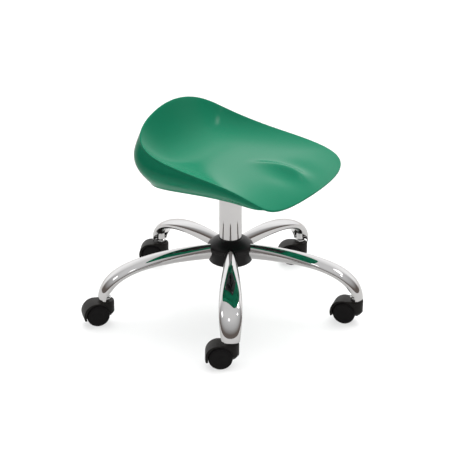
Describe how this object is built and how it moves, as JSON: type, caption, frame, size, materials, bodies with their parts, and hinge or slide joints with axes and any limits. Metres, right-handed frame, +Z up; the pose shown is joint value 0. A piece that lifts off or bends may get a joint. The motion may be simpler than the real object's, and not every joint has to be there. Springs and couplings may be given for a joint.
{
  "type": "adjustable swivel stool",
  "caption": "Low work stool with a moulded saddle seat, gas height adjustment, full swivel and a star base of curved tubes on twin-wheel casters.",
  "frame": {"origin": "centre of the outer box at floor level", "axes": "+Z up, the seat faces -Y, +X is the sitter's left, where the height lever is"},
  "size_m": [0.5906, 0.6107, 0.452],
  "materials": {
    "hub_ring": "machined",
    "hub_cover_upper": "moulded black",
    "hub_cover_lower": "moulded black",
    "column_tube": "polished",
    "guide_bush": "moulded black",
    "thrust_bearing": "machined",
    "leg_1": "polished",
    "leg_2": "polished",
    "leg_3": "polished",
    "leg_4": "polished",
    "leg_5": "polished",
    "caster_socket_1": "polished",
    "caster_socket_2": "polished",
    "caster_socket_3": "polished",
    "caster_socket_4": "polished",
    "caster_socket_5": "polished",
    "piston_rod": "machined",
    "rod_washer": "machined",
    "retaining_clip": "machined",
    "gas_cylinder": "black powder coat",
    "cone_socket": "black powder coat",
    "seat_plate": "black powder coat",
    "lever_tray": "black powder coat",
    "seat_shell": "satin moulded green",
    "lever_pin": "machined",
    "seat_screw_1": "machined",
    "seat_screw_2": "machined",
    "seat_screw_3": "machined",
    "seat_screw_4": "machined",
    "lever_rod": "machined",
    "lever_grip": "moulded black",
    "release_button": "moulded white",
    "caster_stem_1": "machined",
    "caster_hood_1": "moulded black",
    "caster_axle_1": "machined",
    "wheel_1a": "fine moulded black",
    "wheel_1b": "fine moulded black",
    "caster_stem_2": "machined",
    "caster_hood_2": "moulded black",
    "caster_axle_2": "machined",
    "wheel_2a": "fine moulded black",
    "wheel_2b": "fine moulded black",
    "caster_stem_3": "machined",
    "caster_hood_3": "moulded black",
    "caster_axle_3": "machined",
    "wheel_3a": "fine moulded black",
    "wheel_3b": "fine moulded black",
    "caster_stem_4": "machined",
    "caster_hood_4": "moulded black",
    "caster_axle_4": "machined",
    "wheel_4a": "fine moulded black",
    "wheel_4b": "fine moulded black",
    "caster_stem_5": "machined",
    "caster_hood_5": "moulded black",
    "caster_axle_5": "machined",
    "wheel_5a": "fine moulded black",
    "wheel_5b": "fine moulded black"
  },
  "bodies": {
    "base": {"hub_ring": "hub_ring", "hub_cover_upper": "hub_cover_upper", "hub_cover_lower": "hub_cover_lower", "column_tube": "column_tube", "guide_bush": "guide_bush", "thrust_bearing": "thrust_bearing", "leg_1": "leg_1", "leg_2": "leg_2", "leg_3": "leg_3", "leg_4": "leg_4", "leg_5": "leg_5", "caster_socket_1": "caster_socket_1", "caster_socket_2": "caster_socket_2", "caster_socket_3": "caster_socket_3", "caster_socket_4": "caster_socket_4", "caster_socket_5": "caster_socket_5"},
    "spring_rod": {"piston_rod": "piston_rod", "rod_washer": "rod_washer", "retaining_clip": "retaining_clip"},
    "seat": {"gas_cylinder": "gas_cylinder", "cone_socket": "cone_socket", "seat_plate": "seat_plate", "lever_tray": "lever_tray", "seat_shell": "seat_shell", "lever_pin": "lever_pin", "seat_screw_1": "seat_screw_1", "seat_screw_2": "seat_screw_2", "seat_screw_3": "seat_screw_3", "seat_screw_4": "seat_screw_4"},
    "lever": {"lever_rod": "lever_rod", "lever_grip": "lever_grip"},
    "button": {"release_button": "release_button"},
    "caster_1": {"caster_stem_1": "caster_stem_1", "caster_hood_1": "caster_hood_1", "caster_axle_1": "caster_axle_1"},
    "wheel_1a": {"wheel_1a": "wheel_1a"},
    "wheel_1b": {"wheel_1b": "wheel_1b"},
    "caster_2": {"caster_stem_2": "caster_stem_2", "caster_hood_2": "caster_hood_2", "caster_axle_2": "caster_axle_2"},
    "wheel_2a": {"wheel_2a": "wheel_2a"},
    "wheel_2b": {"wheel_2b": "wheel_2b"},
    "caster_3": {"caster_stem_3": "caster_stem_3", "caster_hood_3": "caster_hood_3", "caster_axle_3": "caster_axle_3"},
    "wheel_3a": {"wheel_3a": "wheel_3a"},
    "wheel_3b": {"wheel_3b": "wheel_3b"},
    "caster_4": {"caster_stem_4": "caster_stem_4", "caster_hood_4": "caster_hood_4", "caster_axle_4": "caster_axle_4"},
    "wheel_4a": {"wheel_4a": "wheel_4a"},
    "wheel_4b": {"wheel_4b": "wheel_4b"},
    "caster_5": {"caster_stem_5": "caster_stem_5", "caster_hood_5": "caster_hood_5", "caster_axle_5": "caster_axle_5"},
    "wheel_5a": {"wheel_5a": "wheel_5a"},
    "wheel_5b": {"wheel_5b": "wheel_5b"}
  },
  "joints": [
    {"name": "seat_swivel", "type": "hinge", "parent": "base", "child": "spring_rod", "pos_m": [-0.00494, -0.00986, 0.1], "axis": [0, 0, 1], "continuous": true},
    {"name": "seat_height", "type": "slide", "parent": "spring_rod", "child": "seat", "axis": [0, 0, 1], "range_m": [0, 0.065]},
    {"name": "lever_lift", "type": "hinge", "parent": "seat", "child": "lever", "pos_m": [0.02106, -0.00986, 0.3225], "axis": [0, -1, 0], "range_deg": [0, 7], "stiffness_Nm_per_rad": 0.4},
    {"name": "button_press", "type": "slide", "parent": "seat", "child": "button", "axis": [0, 0, -1], "range_m": [0, 0.0042], "stiffness_N_per_m": 200},
    {"name": "caster_swivel_1", "type": "hinge", "parent": "base", "child": "caster_1", "pos_m": [0.2778, -0.03957, 0.05], "axis": [0, 0, 1], "continuous": true},
    {"name": "wheel_spin_1a", "type": "hinge", "parent": "caster_1", "child": "wheel_1a", "pos_m": [0.26658, -0.0223, 0.025], "axis": [-0.8387, -0.5446, 0], "continuous": true},
    {"name": "wheel_spin_1b", "type": "hinge", "parent": "caster_1", "child": "wheel_1b", "pos_m": [0.26658, -0.0223, 0.025], "axis": [-0.8387, -0.5446, 0], "continuous": true},
    {"name": "caster_swivel_2", "type": "hinge", "parent": "base", "child": "caster_2", "pos_m": [0.11069, 0.24987, 0.05], "axis": [0, 0, 1], "continuous": true},
    {"name": "wheel_spin_2a", "type": "hinge", "parent": "caster_2", "child": "wheel_2a", "pos_m": [0.10134, 0.26822, 0.025], "axis": [-0.891, -0.454, 0], "continuous": true},
    {"name": "wheel_spin_2b", "type": "hinge", "parent": "caster_2", "child": "wheel_2b", "pos_m": [0.10134, 0.26822, 0.025], "axis": [-0.891, -0.454, 0], "continuous": true},
    {"name": "caster_swivel_3", "type": "hinge", "parent": "base", "child": "caster_3", "pos_m": [-0.21622, 0.18038, 0.05], "axis": [0, 0, 1], "continuous": true},
    {"name": "wheel_spin_3a", "type": "hinge", "parent": "caster_3", "child": "wheel_3a", "pos_m": [-0.23119, 0.19453, 0.025], "axis": [-0.6871, -0.7266, 0], "continuous": true},
    {"name": "wheel_spin_3b", "type": "hinge", "parent": "caster_3", "child": "wheel_3b", "pos_m": [-0.23119, 0.19453, 0.025], "axis": [-0.6871, -0.7266, 0], "continuous": true},
    {"name": "caster_swivel_4", "type": "hinge", "parent": "base", "child": "caster_4", "pos_m": [-0.25115, -0.15201, 0.05], "axis": [0, 0, 1], "continuous": true},
    {"name": "wheel_spin_4a", "type": "hinge", "parent": "caster_4", "child": "wheel_4a", "pos_m": [-0.2617, -0.13431, 0.025], "axis": [-0.859, -0.512, 0], "continuous": true},
    {"name": "wheel_spin_4b", "type": "hinge", "parent": "caster_4", "child": "wheel_4b", "pos_m": [-0.2617, -0.13431, 0.025], "axis": [-0.859, -0.512, 0], "continuous": true},
    {"name": "caster_swivel_5", "type": "hinge", "parent": "base", "child": "caster_5", "pos_m": [0.05417, -0.28794, 0.05], "axis": [0, 0, 1], "continuous": true},
    {"name": "wheel_spin_5a", "type": "hinge", "parent": "caster_5", "child": "wheel_5a", "pos_m": [0.05048, -0.26767, 0.025], "axis": [-0.9839, -0.1788, 0], "continuous": true},
    {"name": "wheel_spin_5b", "type": "hinge", "parent": "caster_5", "child": "wheel_5b", "pos_m": [0.05048, -0.26767, 0.025], "axis": [-0.9839, -0.1788, 0], "continuous": true}
  ],
  "couplings": [
    {"joint": "button_press", "follows": "lever_lift", "m_per_rad": 0.03}
  ]
}
